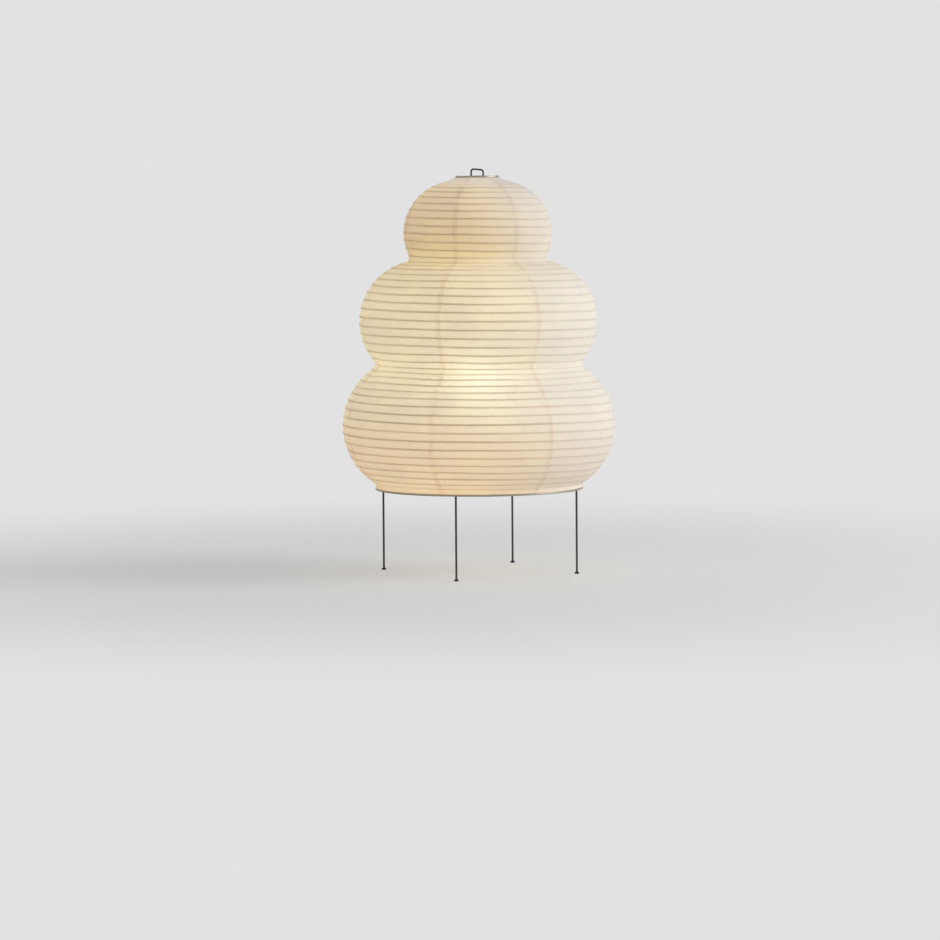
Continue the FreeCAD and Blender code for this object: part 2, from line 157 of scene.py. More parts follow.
# %% Add the window's light
def add_soft_lamp(name, place, size, power, colour):
    """A square lamp that faces the middle of the lantern."""
    target = Vector((0, 0, (cad_low.z + cad_high.z) / 2))
    aim = (target - Vector(place)).to_track_quat("-Z", "Y").to_euler()
    bpy.ops.object.light_add(type="AREA", location=place, rotation=aim)
    lamp = bpy.context.object
    lamp.name = name
    lamp.data.size = size
    lamp.data.energy = power
    lamp.data.color = colour


add_soft_lamp("window_side", place=(3.2, 0.5, 1.5), size=1.8, power=66, colour=(0.92, 0.93, 0.92))

# %% [markdown]
# ## The floor
#
# A plain pale floor catches the lamp's shadow and its warm glow. It is a wide disc, so that its edge
# lies far outside any view. Near the lamp it is mostly an ordinary matt floor, which keeps the lamp's
# shadow. Further out it fades to the same shade as the backdrop, so no horizon shows.

# %% Lay the floor
floor_radius = 60
floor_sides = 64
floor_grey = 0.92
fade_starts = 0.35
fade_ends = 1.5
least_fade = 0.4


def floor_material():
    """Matt and pale near the lamp, and the backdrop's own shade further away."""
    material = bpy.data.materials.new("pale_floor")
    material.use_nodes = True
    nodes, links = material.node_tree.nodes, material.node_tree.links
    nodes.clear()
    matt = nodes.new("ShaderNodeBsdfDiffuse")
    matt.inputs["Color"].default_value = (floor_grey, floor_grey, floor_grey, 1)
    glow = nodes.new("ShaderNodeEmission")
    glow.inputs["Color"].default_value = (backdrop_grey, backdrop_grey, backdrop_grey, 1)
    place = nodes.new("ShaderNodeTexCoord")
    reach = nodes.new("ShaderNodeVectorMath")
    reach.operation = "LENGTH"
    links.new(place.outputs["Object"], reach.inputs[0])
    fade = nodes.new("ShaderNodeMapRange")
    fade.interpolation_type = "SMOOTHSTEP"
    fade.inputs["From Min"].default_value = fade_starts
    fade.inputs["From Max"].default_value = fade_ends
    fade.inputs["To Min"].default_value = least_fade
    links.new(reach.outputs["Value"], fade.inputs["Value"])
    path = nodes.new("ShaderNodeLightPath")
    seen = nodes.new("ShaderNodeMath")
    seen.operation = "MULTIPLY"
    links.new(fade.outputs["Result"], seen.inputs[0])
    links.new(path.outputs["Is Camera Ray"], seen.inputs[1])
    mix = nodes.new("ShaderNodeMixShader")
    links.new(seen.outputs[0], mix.inputs["Fac"])
    links.new(matt.outputs[0], mix.inputs[1])
    links.new(glow.outputs[0], mix.inputs[2])
    output = nodes.new("ShaderNodeOutputMaterial")
    links.new(mix.outputs[0], output.inputs["Surface"])
    return material


bpy.ops.mesh.primitive_circle_add(vertices=floor_sides, radius=floor_radius, fill_type="NGON")
floor = bpy.context.object
floor.name = "floor"
floor.data.materials.append(floor_material())
print("floor laid, radius", floor_radius, "m")

# %% [markdown]
# ## The form of the lantern
#
# A lantern like this is made on a wooden mould. One thin bamboo rib is wound round the mould from rim
# to rim, paper is glued over it, and the mould is taken out. So one line, the outline of the mould,
# gives the shape of both paper and rib: three arcs, one for each lobe, with a tight hollow where two
# lobes meet. From the top rim to the first turn of the rib, and from the last turn to the bottom rim,
# the paper runs straight. The next cell repeats that outline from the solids' own sizes, in
# millimetres, because those are the sizes a maker would write on the mould.

# %% The arcs of the mould
lobes = [  # widest radius, its height, and the radius of the lobe's curve
    (108.0, 494.0, 76.0),
    (173.2, 366.0, 89.5),
    (198.5, 215.0, 99.5),
]
neck_curves = [2.5, 5.0]
top_rim = (31.2, 574.6)       # radius and height of the paper's upper edge
first_rib_radius = 47.8
last_rib_radius = 151.6
bottom_rim = (151.3, 124.8)  # radius and height of the paper's lower edge


def crossing(first, first_radius, second, second_radius):
    """The outer one of the two points where two circles cross."""
    across = (second[0] - first[0], second[1] - first[1])
    apart = math.hypot(*across)
    along = (apart ** 2 + first_radius ** 2 - second_radius ** 2) / (2 * apart)
    aside = math.sqrt(first_radius ** 2 - along ** 2)
    return (first[0] + (across[0] * along - across[1] * aside) / apart,
            first[1] + (across[1] * along + across[0] * aside) / apart)


def bearing(centre, point):
    """The direction from a centre to a point, up from level."""
    return math.atan2(point[1] - centre[1], point[0] - centre[0])


def mould_arcs():
    """Each arc of the outline, from the top down: centre, radius, first and last bearing."""
    centres = [(radius - curve, height) for radius, height, curve in lobes]
    curves = [curve for radius, height, curve in lobes]
    necks = [
        crossing(centres[i], curves[i] + neck_curves[i], centres[i + 1], curves[i + 1] + neck_curves[i])
        for i in range(2)
    ]
    first_bearing = math.acos((first_rib_radius - centres[0][0]) / curves[0])
    last_bearing = -math.acos((last_rib_radius - centres[2][0]) / curves[2])
    starts = [first_bearing, bearing(centres[1], necks[0]), bearing(centres[2], necks[1])]
    ends = [bearing(centres[0], necks[0]), bearing(centres[1], necks[1]), last_bearing]
    arcs = []
    for i in range(3):
        arcs.append((centres[i], curves[i], starts[i], ends[i]))
        if i < 2:
            turn_in = bearing(necks[i], centres[i])
            turn_out = bearing(necks[i], centres[i + 1]) + math.tau
            arcs.append((necks[i], neck_curves[i], turn_in, turn_out))
    return arcs


arcs = mould_arcs()
print("arcs, from the top:", [round(radius, 1) for centre, radius, start, end in arcs], "mm in radius")

# %% [markdown]
# ## Walking down the mould
#
# A place on the outline is told by its length down from the first turn of the rib, because both paper
# and bamboo lie along the mould. An inset moves the place inward, at right angles to the outline, as
# for the middle of the rib, which lies inside the paper.

# %% Walk down the mould
arc_lengths = [radius * abs(start - end) for centre, radius, start, end in arcs]
mould_length = sum(arc_lengths)
upper_neck_length = arc_lengths[0] + arc_lengths[1] / 2
lower_neck_length = sum(arc_lengths[:3]) + arc_lengths[3] / 2


def on_arc(arc, length, inset=0.0):
    """Radius and height at a length along one arc of the outline, moved inward by an inset."""
    centre, radius, start, end = arc
    sense = math.copysign(1, end - start)
    angle = start + sense * length / radius
    reach = radius + sense * inset
    return Vector((centre[0] + reach * math.cos(angle), centre[1] + reach * math.sin(angle)))


last_rib_place = on_arc(arcs[-1], arc_lengths[-1])
hem_length = (Vector(bottom_rim) - last_rib_place).length


def on_mould(length, inset=0.0):
    """Radius and height at a length down the outline, in millimetres, moved inward by an inset."""
    for arc, span in zip(arcs, arc_lengths):
        if length <= span or arc is arcs[-1]:
            return on_arc(arc, length, inset)
        length -= span


print("down the mould:", round(mould_length, 1), "mm, hem", round(hem_length, 1), "mm")

# %% [markdown]
# ## Where the rib runs
#
# The rib is one spiral of forty-five turns. Each lobe has its own pitch. A hand-made lantern is
# never exact, so the line wanders by a fraction of a millimetre as it goes round, and between two
# seams the drying paper pulls the turns near a neck towards it. Smooth noise that is read on a circle
# gives a wander that comes round to where it began.

# %% The rib's line
neck_turns = (12.36, 27.9)
shoulder_turn = 33.0
shoulder_share = 0.274
rib_turns = 45
gore_count = 7
first_seam = math.radians(-43.2)
wander_size = 0.55
wander_grain = 1.7
turn_grain = 0.37
pull_size = (1.2, 2.4)
pull_reach = 15.0


def even_length(turn):
    """How far down the mould the rib would lie at a turn, wound without fault."""
    shoulder_length = lower_neck_length + shoulder_share * (mould_length - lower_neck_length)
    stops = [(0, 0), (neck_turns[0], upper_neck_length), (neck_turns[1], lower_neck_length),
             (shoulder_turn, shoulder_length), (rib_turns, mould_length)]
    for (turn_above, above), (turn_below, below) in zip(stops, stops[1:]):
        if turn <= turn_below:
            return above + (turn - turn_above) / (turn_below - turn_above) * (below - above)
    return mould_length


def rib_length(turn):
    """How far down the mould the rib really lies at a turn."""
    length = even_length(turn)
    around = math.tau * turn
    spot = Vector((math.cos(around) * wander_grain, math.sin(around) * wander_grain, turn * turn_grain))
    ends = min(1.0, turn, rib_turns - turn)
    shift = noise.noise(spot) * wander_size * 2
    across = (turn * gore_count) % 1.0
    slack = 4 * across * (1 - across)
    for neck, size in zip((upper_neck_length, lower_neck_length), pull_size):
        away = (length - neck) / pull_reach
        shift -= slack * size * away * math.exp((1 - away * away) / 2)
    return length + shift * ends


def around_axis(radius, height, angle):
    """A point in metres, from a radius and height in millimetres and an angle about the axis."""
    return Vector((radius * math.cos(angle), radius * math.sin(angle), height)) * millimetre


print("pitch in the lobes:", [round(even_length(t + 1) - even_length(t), 1) for t in (5, 20, 35)], "mm")

# %% [markdown]
# ## Finishes
#
# Each finish is a small tree of nodes. Noise that is read on Object coordinates stays with the piece,
# because every piece sits at the origin with its place in its mesh. What is the same all over a
# surface is set on the shader itself, and only what varies comes from nodes.

# %% Node helpers
class Finish:
    """One material and short ways to add the nodes that a finish needs."""

    def __init__(self, name, roughness, **settings):
        self.material = bpy.data.materials.new(name)
        self.material.use_nodes = True
        self.nodes = self.material.node_tree.nodes
        self.links = self.material.node_tree.links
        self.shader = self.nodes["Principled BSDF"]
        self.shader.inputs["Roughness"].default_value = roughness
        for socket, value in settings.items():
            self.shader.inputs[socket.replace("_", " ")].default_value = value

    def add(self, kind, **settings):
        """A node of a kind, with its settings."""
        node = self.nodes.new("ShaderNode" + kind)
        for name, value in settings.items():
            setattr(node, name, value)
        return node

    def feed(self, socket, value):
        """A socket gets a link from another socket, or a plain value."""
        if isinstance(value, bpy.types.NodeSocket):
            self.links.new(value, socket)
        else:
            socket.default_value = value

    def give(self, socket, value):
        """A socket of the shader gets a link or a plain value."""
        self.feed(self.shader.inputs[socket], value)

    def place(self):
        """Where a point of the piece is, in metres."""
        return self.add("TexCoord").outputs["Object"]

    def height(self):
        """How high a point of the piece is above the floor, in metres."""
        parts = self.add("SeparateXYZ")
        self.feed(parts.inputs[0], self.place())
        return parts.outputs["Z"]

    def noise(self, scale, detail=3.0, stretch=None):
        """Smooth noise from 0 to 1, scale in grains per metre, stretched along an axis if asked."""
        coordinates = self.place()
        if stretch:
            mapping = self.add("Mapping")
            self.feed(mapping.inputs["Vector"], coordinates)
            mapping.inputs["Scale"].default_value = stretch
            coordinates = mapping.outputs["Vector"]
        texture = self.add("TexNoise")
        self.feed(texture.inputs["Vector"], coordinates)
        texture.inputs["Scale"].default_value = scale
        texture.inputs["Detail"].default_value = detail
        return texture.outputs["Fac"]

    def ramp(self, value, low, high, to_low=0.0, to_high=1.0):
        """A value eased from one range to another."""
        node = self.add("MapRange", interpolation_type="SMOOTHSTEP")
        self.feed(node.inputs["Value"], value)
        for name, number in zip(("From Min", "From Max", "To Min", "To Max"), (low, high, to_low, to_high)):
            node.inputs[name].default_value = number
        return node.outputs["Result"]

    def spread(self, grain, to_low=0.0, to_high=1.0):
        """Noise, which mostly lies between 0.3 and 0.7, spread over a wider range."""
        return self.ramp(grain, 0.3, 0.7, to_low, to_high)

    def math(self, operation, first, second=0.0):
        """One sum on two values."""
        node = self.add("Math", operation=operation)
        self.feed(node.inputs[0], first)
        self.feed(node.inputs[1], second)
        return node.outputs[0]

    def product(self, first, *others):
        """Several shares multiplied together."""
        for other in others:
            first = self.math("MULTIPLY", first, other)
        return first

    def blend(self, share, first, second, how="MIX"):
        """Two colours blended by a share."""
        node = self.add("Mix", data_type="RGBA", blend_type=how)
        self.feed(node.inputs[0], share)
        self.feed(node.inputs[6], first)
        self.feed(node.inputs[7], second)
        return node.outputs[2]

    def tinted(self, colour, share, tint):
        """A colour multiplied by a tint, as far as a share goes."""
        return self.blend(1.0, colour, self.blend(share, shade(1), tint), "MULTIPLY")

    def vary_gloss(self, grain, roughness, unevenness):
        """Roughness that goes with a noise, from a little under the usual to a little over it."""
        smoothest, roughest = (roughness + step for step in unevenness)
        self.give("Roughness", self.spread(grain, smoothest, roughest))

    def bump(self, height, depth):
        """A fine relief, depth in metres."""
        node = self.add("Bump")
        node.inputs["Distance"].default_value = depth
        self.feed(node.inputs["Height"], height)
        self.give("Normal", node.outputs["Normal"])


def shade(level, tint=(1, 1, 1)):
    """A colour with its alpha."""
    return tuple(level * part for part in tint) + (1,)


# %% [markdown]
# ## Lit paper
#
# Washi is thin and fibrous. By day it is off-white and quite matt. With the lamp on, light comes
# through it. The glow is written by height: strongest around the bulb, more golden in the top lobe,
# where the light has gone through two necks. On the side that faces the window the glow is painted
# weaker, as painted washout where daylight falls, and on the side that is turned away it is painted a
# little darker, as painted shade. A rib stops the light behind it, and a lap and the doubled strip at
# the rim let less through, so all show as darker lines of painted shadow in the glow. Ribs and laps
# also darken the paper's own colour a little, as paste and painted shade. The rib's painted shadow is
# fainter on the window side and on the far side, and a lap's on the window side. No two turns of the
# rib show alike, because the paste and the bamboo are uneven. Part of the real bulb's light also
# passes: that gives the soft bright spot wherever the bulb stands behind the paper. The first helpers
# say where a point lies on its sheet, and how far it is turned to the window, which steers the painted
# light and shade by side.

# %% Where a point of the paper lies
first_rib_line = 2      # in bands, down from the top rim
bands = rib_turns + first_rib_line + 1
lap_segments = 2
plain_segments = 28
segments = plain_segments + 2 * lap_segments


def sheet_place(finish):
    """How far across its strip a point lies, from 0 to 1, and how far down it in bands."""
    flat = finish.add("SeparateXYZ")
    finish.feed(flat.inputs[0], finish.add("UVMap", uv_map="UVMap").outputs["UV"])
    return flat.outputs[0], finish.math("MULTIPLY", finish.math("SUBTRACT", 1.0, flat.outputs[1]), bands)


def turned_to_window(finish):
    """How far a point faces the window: 1 straight towards it, -1 straight away."""
    level = finish.add("VectorMath", operation="MULTIPLY")
    finish.feed(level.inputs[0], finish.place())
    level.inputs[1].default_value = (1, 1, 0)
    way = finish.add("VectorMath", operation="NORMALIZE")
    finish.feed(way.inputs[0], level.outputs[0])
    facing = finish.add("VectorMath", operation="DOT_PRODUCT")
    finish.feed(facing.inputs[0], way.outputs[0])
    facing.inputs[1].default_value = window_way
    return facing.outputs["Value"]


print("a strip of paper has", bands, "bands and", segments, "segments across")

# %% [markdown]
# ## What darkens the paper
#
# Ribs, laps and creases are each worked out as a share, 0 on plain paper and 1 where the mark is full.
# A rib lies on the line between two bands and a lap at the side of its strip, so the flat coordinates
# say where both are. Creases wander anywhere, so they come from noise. The same share then darkens
# the glow strongly, as painted shadow, and for ribs and laps the paper's own colour a little, as paste
# and painted shade.

# %% Ribs, laps and creases
rib_core = 0.03         # in bands, from the middle of the rib's line
rib_edge = 0.16
rib_unevenness = 0.05
rib_patchiness = (0.75, 1.22)
# painted light: the rib's painted shadow is weaker on the window side and on the side turned away
rib_shadow_beside_window = 0.56
rib_shadow_far_from_window = 0.72
paste_grain = 28.0      # grains per metre, as for every grain of a finish
patch_grain = 8.0
along_rib = (1, 1, 12)

# painted light: the lap's painted shadow is fainter on the window side
lap_shadow_beside_window = 0.7
lap_faintest = 0.45
lap_raggedness = 0.5    # in segments of the sheet
lap_edge_grain = 170.0
lap_tone_grain = 55.0

crease_width = 0.035
crease_grain = 42.0
along_crease = (1, 1, 0.6)


def rib_share(finish, down, facing, beside_window):
    """How far the rib's painted shadow darkens a point: most on its middle line, not at all in the strips at
    the rims, fainter on the window side and the far side.
    """
    from_rib = finish.math("PINGPONG", down, 0.5)
    uneven = finish.math("MULTIPLY", finish.noise(paste_grain), rib_unevenness)
    return finish.product(
        finish.ramp(finish.math("SUBTRACT", from_rib, uneven), rib_core, rib_edge, 1.0, 0.0),
        finish.ramp(down, first_rib_line - 0.5, first_rib_line + 1.2, 0.0, 1.0),
        finish.ramp(down, bands - 1.6, bands - 1.4, 1.0, 0.0),
        finish.ramp(beside_window, 0.0, 1.0, 1.0, rib_shadow_beside_window),
        finish.ramp(facing, -1.0, -0.3, rib_shadow_far_from_window, 1.0),
        finish.spread(finish.noise(patch_grain, detail=2.0, stretch=along_rib), *rib_patchiness))


def lap_share(finish, across, beside_window):
    """How far the lap's painted shadow darkens a point, with a torn edge and an uneven tone, fainter on the
    window side.
    """
    torn = finish.math("MULTIPLY", finish.noise(lap_edge_grain, detail=4.0), lap_raggedness / segments)
    lap_begins = 1 - (lap_segments + 0.1) / segments
    lap_is_full = 1 - (lap_segments - 0.6) / segments
    return finish.product(
        finish.ramp(finish.math("ADD", across, torn), lap_begins, lap_is_full),
        finish.ramp(finish.noise(lap_tone_grain), 0.35, 0.6, lap_faintest, 1.0),
        finish.ramp(beside_window, 0.0, 1.0, 1.0, lap_shadow_beside_window))


def crease_share(finish):
    """Thin wandering lines, where smooth noise crosses its own middle."""
    grain = finish.noise(crease_grain, detail=4.0, stretch=along_crease)
    from_middle = finish.math("ABSOLUTE", finish.math("SUBTRACT", grain, 0.5))
    return finish.ramp(from_middle, 0.0, crease_width, 1.0, 0.0)


# %% [markdown]
# ## The glow
#
# On the real lantern the glow comes from the bulb, through paper and paste of uneven thickness. Tracing
# that light through every sheet would be slow and noisy, so the paper gives the light itself. A colour
# ramp on height says how much comes through plain paper, and everything else is a tint on that.

# %% The light that comes through
glow_by_height = [  # metres above the floor, and the light that comes through
    (0.14, (0.385, 0.245, 0.095, 1)),
    (0.19, (0.405, 0.27, 0.118, 1)),
    (0.25, (0.425, 0.33, 0.18, 1)),
    (0.30, (0.445, 0.365, 0.205, 1)),
    (0.345, (0.405, 0.315, 0.165, 1)),
    (0.40, (0.45, 0.355, 0.185, 1)),
    (0.44, (0.42, 0.325, 0.15, 1)),
    (0.48, (0.325, 0.20, 0.045, 1)),
    (0.52, (0.35, 0.235, 0.085, 1)),
    (0.55, (0.37, 0.265, 0.13, 1)),
]
# painted light and shade: the glow is painted weaker on the window side and a little darker on the far side
painted_washout_beside_window = (0.44, 0.45, 0.60, 1)
painted_shade_at_far_side = (0.92, 0.92, 0.95, 1)
rib_shadow = (0.48, 0.44, 0.27, 1)
lap_shadow = (0.71, 0.68, 0.63, 1)
rim_shadow = (0.86, 0.98, 1.45, 1)
crease_shadow = (0.94, 0.94, 0.94, 1)
cloud_thick = (0.93, 0.911, 0.967, 1)
cloud_thin = (1.06, 1.071, 0.986, 1)
whiter_light = (0.98, 1.0, 1.05, 1)


def plain_glow(finish):
    """The light that comes through plain paper, by height above the floor."""
    colours = finish.add("ValToRGB")
    stops = colours.color_ramp.elements
    while len(stops) < len(glow_by_height):
        stops.new(1.0)
    for stop, (metres, colour) in zip(stops, glow_by_height):
        stop.position = metres
        stop.color = colour
    finish.feed(colours.inputs["Fac"], finish.height())
    return colours.outputs["Color"]


def glow(finish, facing, beside_window, cloud, marks):
    """The light that comes through, with all that dims or tints it: painted shadows of ribs, laps and
    creases, painted washout on the window side and painted shade on the far side.
    """
    light = plain_glow(finish)
    for share, tint in marks:
        light = finish.tinted(light, share, tint)
    # painted washout: the glow is painted weaker on the side that faces the window
    light = finish.tinted(light, beside_window, painted_washout_beside_window)
    # painted shade: the glow is painted a little darker on the side turned away from the window
    light = finish.tinted(light, finish.ramp(facing, -1.0, -0.5, 1.0, 0.0), painted_shade_at_far_side)
    clouding = finish.blend(finish.spread(cloud), cloud_thick, cloud_thin)
    return finish.blend(1.0, light, clouding, "MULTIPLY")


print("glow set at", len(glow_by_height), "heights")

# %% [markdown]
# ## Both sides of the sheet
#
# The outer side is a matt surface that lets a little light pass, so the bulb shows as a soft spot. The
# inner side would stop that light if it were as dense, so it is half matt and half clear. The fibre,
# the clouding and the creases also give the outer side a relief as fine as a hair.

# %% Washi, outside and inside
daylight_white = (0.78, 0.765, 0.72, 1)
daylight_fibre = (0.80, 0.776, 0.728, 1)
# paste and painted shade: ribs and laps darken the paper's own colour a little, partly the paste, partly
# painted shade
paste_and_shade_over_rib = (0.53, 0.49, 0.36, 1)
paste_and_shade_over_lap = (0.65, 0.62, 0.62, 1)
paste_and_shade_share = 0.40     # how much of a rib or a lap shows in the paper's own colour
whiter_paper = (1.0, 1.008, 1.035, 1)
cloud_grain = 24.0
fibre_grain = 260.0
along_fibre = (1, 1, 0.25)
paper_relief = 0.0002
matt_share_inside = 0.45


def washi_outside():
    """Matt off-white paper with the bulb's light coming through it."""
    finish = Finish("washi_lit", roughness=1.0, IOR=1.4, Transmission_Weight=0.3, Emission_Strength=1.0)
    across, down = sheet_place(finish)
    facing = turned_to_window(finish)
    # facing and beside_window steer the painted light and shade by side
    beside_window = finish.ramp(facing, -0.1, 1.0)
    on_rib = rib_share(finish, down, facing, beside_window)
    on_lap = lap_share(finish, across, beside_window)
    on_rim = finish.ramp(down, 0.6, first_rib_line + 1.5, 1.0, 0.0)
    crease = crease_share(finish)
    cloud = finish.noise(cloud_grain, detail=5.0)
    fibre = finish.noise(fibre_grain, detail=6.0, stretch=along_fibre)
    tone = finish.add("Attribute", attribute_name="sheet_tone").outputs["Fac"]

    marks = [(on_rib, rib_shadow), (on_lap, lap_shadow), (on_rim, rim_shadow),
             (crease, crease_shadow), (tone, whiter_light)]
    finish.give("Emission Color", glow(finish, facing, beside_window, cloud, marks))

    paper = finish.blend(finish.ramp(fibre, 0.35, 0.7), daylight_white, daylight_fibre)
    # a rib and a lap darken the paper's colour as paste and painted shade
    paper = finish.blend(finish.math("MULTIPLY", on_rib, paste_and_shade_share), paper, paste_and_shade_over_rib)
    paper = finish.blend(finish.math("MULTIPLY", on_lap, paste_and_shade_share), paper, paste_and_shade_over_lap)
    finish.give("Base Color", finish.tinted(paper, tone, whiter_paper))
    finish.bump(finish.math("ADD", finish.math("ADD", fibre, cloud), crease), paper_relief)
    return finish.material


def washi_inside():
    """The back of the sheet: half matt, and half let through to the front."""
    finish = Finish("washi_back", roughness=0.9)
    fibre = finish.noise(fibre_grain, detail=6.0, stretch=along_fibre)
    finish.give("Base Color", finish.blend(fibre, shade(0.70, (1, 0.93, 0.80)), shade(0.80, (1, 0.95, 0.86))))
    clear = finish.add("BsdfTransparent")
    mix = finish.add("MixShader")
    mix.inputs["Fac"].default_value = matt_share_inside
    finish.links.new(clear.outputs[0], mix.inputs[1])
    finish.links.new(finish.shader.outputs[0], mix.inputs[2])
    finish.links.new(mix.outputs[0], finish.nodes["Material Output"].inputs["Surface"])
    return finish.material


washi = [washi_outside(), washi_inside()]
print("paper finishes:", [side.name for side in washi])

# %% [markdown]
# ## Tools for modelling
#
# Each piece is made the same way: an operator adds a simple mesh, modifiers shape it, and they are
# applied so that the mesh is the finished piece. These helpers do what every piece needs.

# %% Tools for modelling
def clear_selection():
    """Nothing is selected, so that the next operator acts only on what is made or picked next."""
    for selected in list(bpy.context.selected_objects):
        selected.select_set(False)


def pick(piece):
    """Only this piece is selected and active."""
    clear_selection()
    piece.select_set(True)
    bpy.context.view_layer.objects.active = piece


def apply_all(piece):
    """Every modifier on the piece is made part of its mesh."""
    pick(piece)
    for modifier in list(piece.modifiers):
        bpy.ops.object.modifier_apply(modifier=modifier.name)


def smooth(piece, largest_angle):
    """Smooth shading, with an edge kept crisp where it turns by more than an angle in degrees."""
    pick(piece)
    bpy.ops.object.shade_smooth_by_angle(angle=math.radians(largest_angle))


# %% [markdown]
# ## The paper between the ribs
#
# A strip is read in bands, down from the top rim: two bands to the first turn of the rib, one for each
# turn, and the last to the bottom rim. So the edge of a band always lies on a rib. Between two ribs the
# paper draws in a little, as glued paper does when it dries, and it puckers unevenly.

# %% A place on the paper
strip_to_rib = 2.0
sag = 0.45
pucker_size = 0.22
pucker_grain = 0.045    # metres from one pucker to the next


def band_line(band, turn):
    """Radius and height where a band of the paper begins, at a turn of its strip."""
    if band == 0:
        return Vector(top_rim)
    if band == 1:
        return on_mould(-strip_to_rib)
    if band == bands - 1:
        return on_mould(mould_length + strip_to_rib)
    if band == bands:
        return Vector(bottom_rim)
    return on_mould(rib_length(band - first_rib_line + turn))


def paper_place(down, turn, lift):
    """A point of the paper: how far down in bands, how far round in turns, and its lift off the mould."""
    band = min(int(down), bands - 1)
    share = down - band
    above, below = band_line(band, turn), band_line(band + 1, turn)
    run = below - above
    outward = Vector((-run.y, run.x)).normalized()
    place = above.lerp(below, share)
    angle = first_seam + math.tau * turn
    spot = around_axis(place.x, place.y, angle) / pucker_grain
    pucker = noise.noise(spot) + noise.noise(spot * 3) / 2
    drawn_in = 4 * share * (1 - share)
    place += outward * (lift - drawn_in * (sag + pucker * pucker_size))
    return around_axis(place.x, place.y, angle)


print("band edges near the top:", [round(band_line(band, 0).y, 1) for band in range(5)], "mm up")

# %% [markdown]
# ## Seams and laps
#
# Seven strips of washi run from rim to rim, each lapped over the next by about seven millimetres. The
# lap is the same width all the way down, so it takes more of a turn where the lantern is narrow. The
# seams drift a little from a straight fall, as they do when each strip is laid by hand.

# %% Where the seams run
half_lap = 3.8
lap_lift = 0.5
seam_drift = math.radians(4) / math.tau
seam_spread = 1.3
seam_grain = 0.05
seam_seed = 132.83


def seam_turn(seam, down):
    """Where a seam lies, in turns, with the slow drift of hand work."""
    spot = Vector((seam % gore_count * seam_spread, down * seam_grain, seam_seed))
    return seam / gore_count + noise.noise(spot) * seam_drift


def strip_turn(strip, column, down):
    """How far round, in turns, and how far lifted, for a column of a strip."""
    start, end = seam_turn(strip, down), seam_turn(strip + 1, down)
    band = min(int(down), bands - 1)
    lap = half_lap / (math.tau * band_line(band, (start + end) / 2).x)
    if column <= lap_segments:
        return start - lap + column * lap, 0
    if column >= segments - lap_segments:
        return end + lap - (segments - column) * lap, lap_lift
    share = (column - lap_segments) / plain_segments
    return start + lap + share * (end - start - 2 * lap), 0


print("seams at the top:", [round(seam_turn(seam, 0), 3) for seam in range(gore_count)], "turns")

# %% [markdown]
# ## The paper strips
#
# A strip starts as a flat grid, as the real one starts as flat paper, and each point of the grid is
# then carried to its place. The grid's own UV map keeps the flat coordinates, and the finish finds
# ribs and laps by them. Each sheet has its own tone, kept as an attribute, because no two sheets of
# hand-made paper are quite alike. Solidify then gives the sheet its thickness, with the second finish
# on the inside.

# %% Carry each flat strip onto the mould
paper_thickness = 0.4
rows_per_band = 6
paper_crisp_angle = 14
sheet_tones = [1.0, 0.5, 0.1, 0.8, 0.3, 0.1, 0.0]


def add_paper_strip(number):
    """One strip of washi, as a thin closed sheet."""
    bpy.ops.mesh.primitive_grid_add(x_subdivisions=segments, y_subdivisions=bands * rows_per_band, size=1)
    strip = bpy.context.object
    strip.name = f"washi_strip_{number}"
    for corner in strip.data.vertices:
        column = round((corner.co.x + 0.5) * segments)
        down = round((0.5 - corner.co.y) * bands * rows_per_band) / rows_per_band
        turn, lift = strip_turn(number - 1, column, down)
        corner.co = paper_place(down, turn, lift)
    tone = strip.data.attributes.new("sheet_tone", "FLOAT", "POINT")
    tone.data.foreach_set("value", [sheet_tones[number - 1]] * len(strip.data.vertices))
    for side in washi:
        strip.data.materials.append(side)
    sheet = strip.modifiers.new("sheet", "SOLIDIFY")
    sheet.thickness = paper_thickness * millimetre
    sheet.offset = -1
    sheet.material_offset = 1
    apply_all(strip)
    smooth(strip, paper_crisp_angle)
    return strip


clear_selection()
paper_strips = [add_paper_strip(number + 1) for number in range(gore_count)]
print("paper strips:", len(paper_strips), "with", len(paper_strips[0].data.polygons), "faces each")

# %% [markdown]
# ## Bamboo
#
# Split bamboo is pale tan, with fibres that run along the strip and darker patches where the skin was.
# Noise that is stretched along the strip gives the fibres, and a much coarser one the patches.

# %% The finish of split bamboo
bamboo_grain = 420.0
bamboo_patch_grain = 9.0
along_bamboo = (0.15, 0.15, 1)
bamboo_relief = 0.0001


def bamboo():
    """Split bamboo: pale tan, with long darker fibres."""
    finish = Finish("split_bamboo", roughness=0.6)
    fibre = finish.noise(bamboo_grain, detail=4.0, stretch=along_bamboo)
    dark_share = finish.math("MULTIPLY", finish.noise(bamboo_patch_grain), 0.4)
    colour = finish.blend(fibre, shade(0.46, (1, 0.78, 0.52)), shade(0.66, (1, 0.82, 0.58)))
    colour = finish.blend(dark_share, colour, shade(0.36, (1, 0.72, 0.44)))
    finish.give("Base Color", colour)
    finish.bump(fibre, bamboo_relief)
    return finish.material


split_bamboo = bamboo()
print("finish of the rib:", split_bamboo.name)

# %% [markdown]
# ## The bamboo rib
#
# The rib is one split strip of bamboo, a little taller than it is deep. A curve follows its line, a
# small rectangle gives its section, and the two together become a mesh. Setting the twist to Z-up
# keeps the strip's tall side upright all the way round. Bamboo swells a little at each of its joints,
# which the curve's own radius can say.

# %% Wind the rib
rib_height = 1.6
rib_depth = 1.2
rib_inset = 1.7         # from the mould's outline to the middle of the rib
points_per_turn = 16
joint_spacing = 23      # points between two joints of the bamboo
joint_swell = 0.18
curve_steps = 5         # straight pieces between two points of the curve


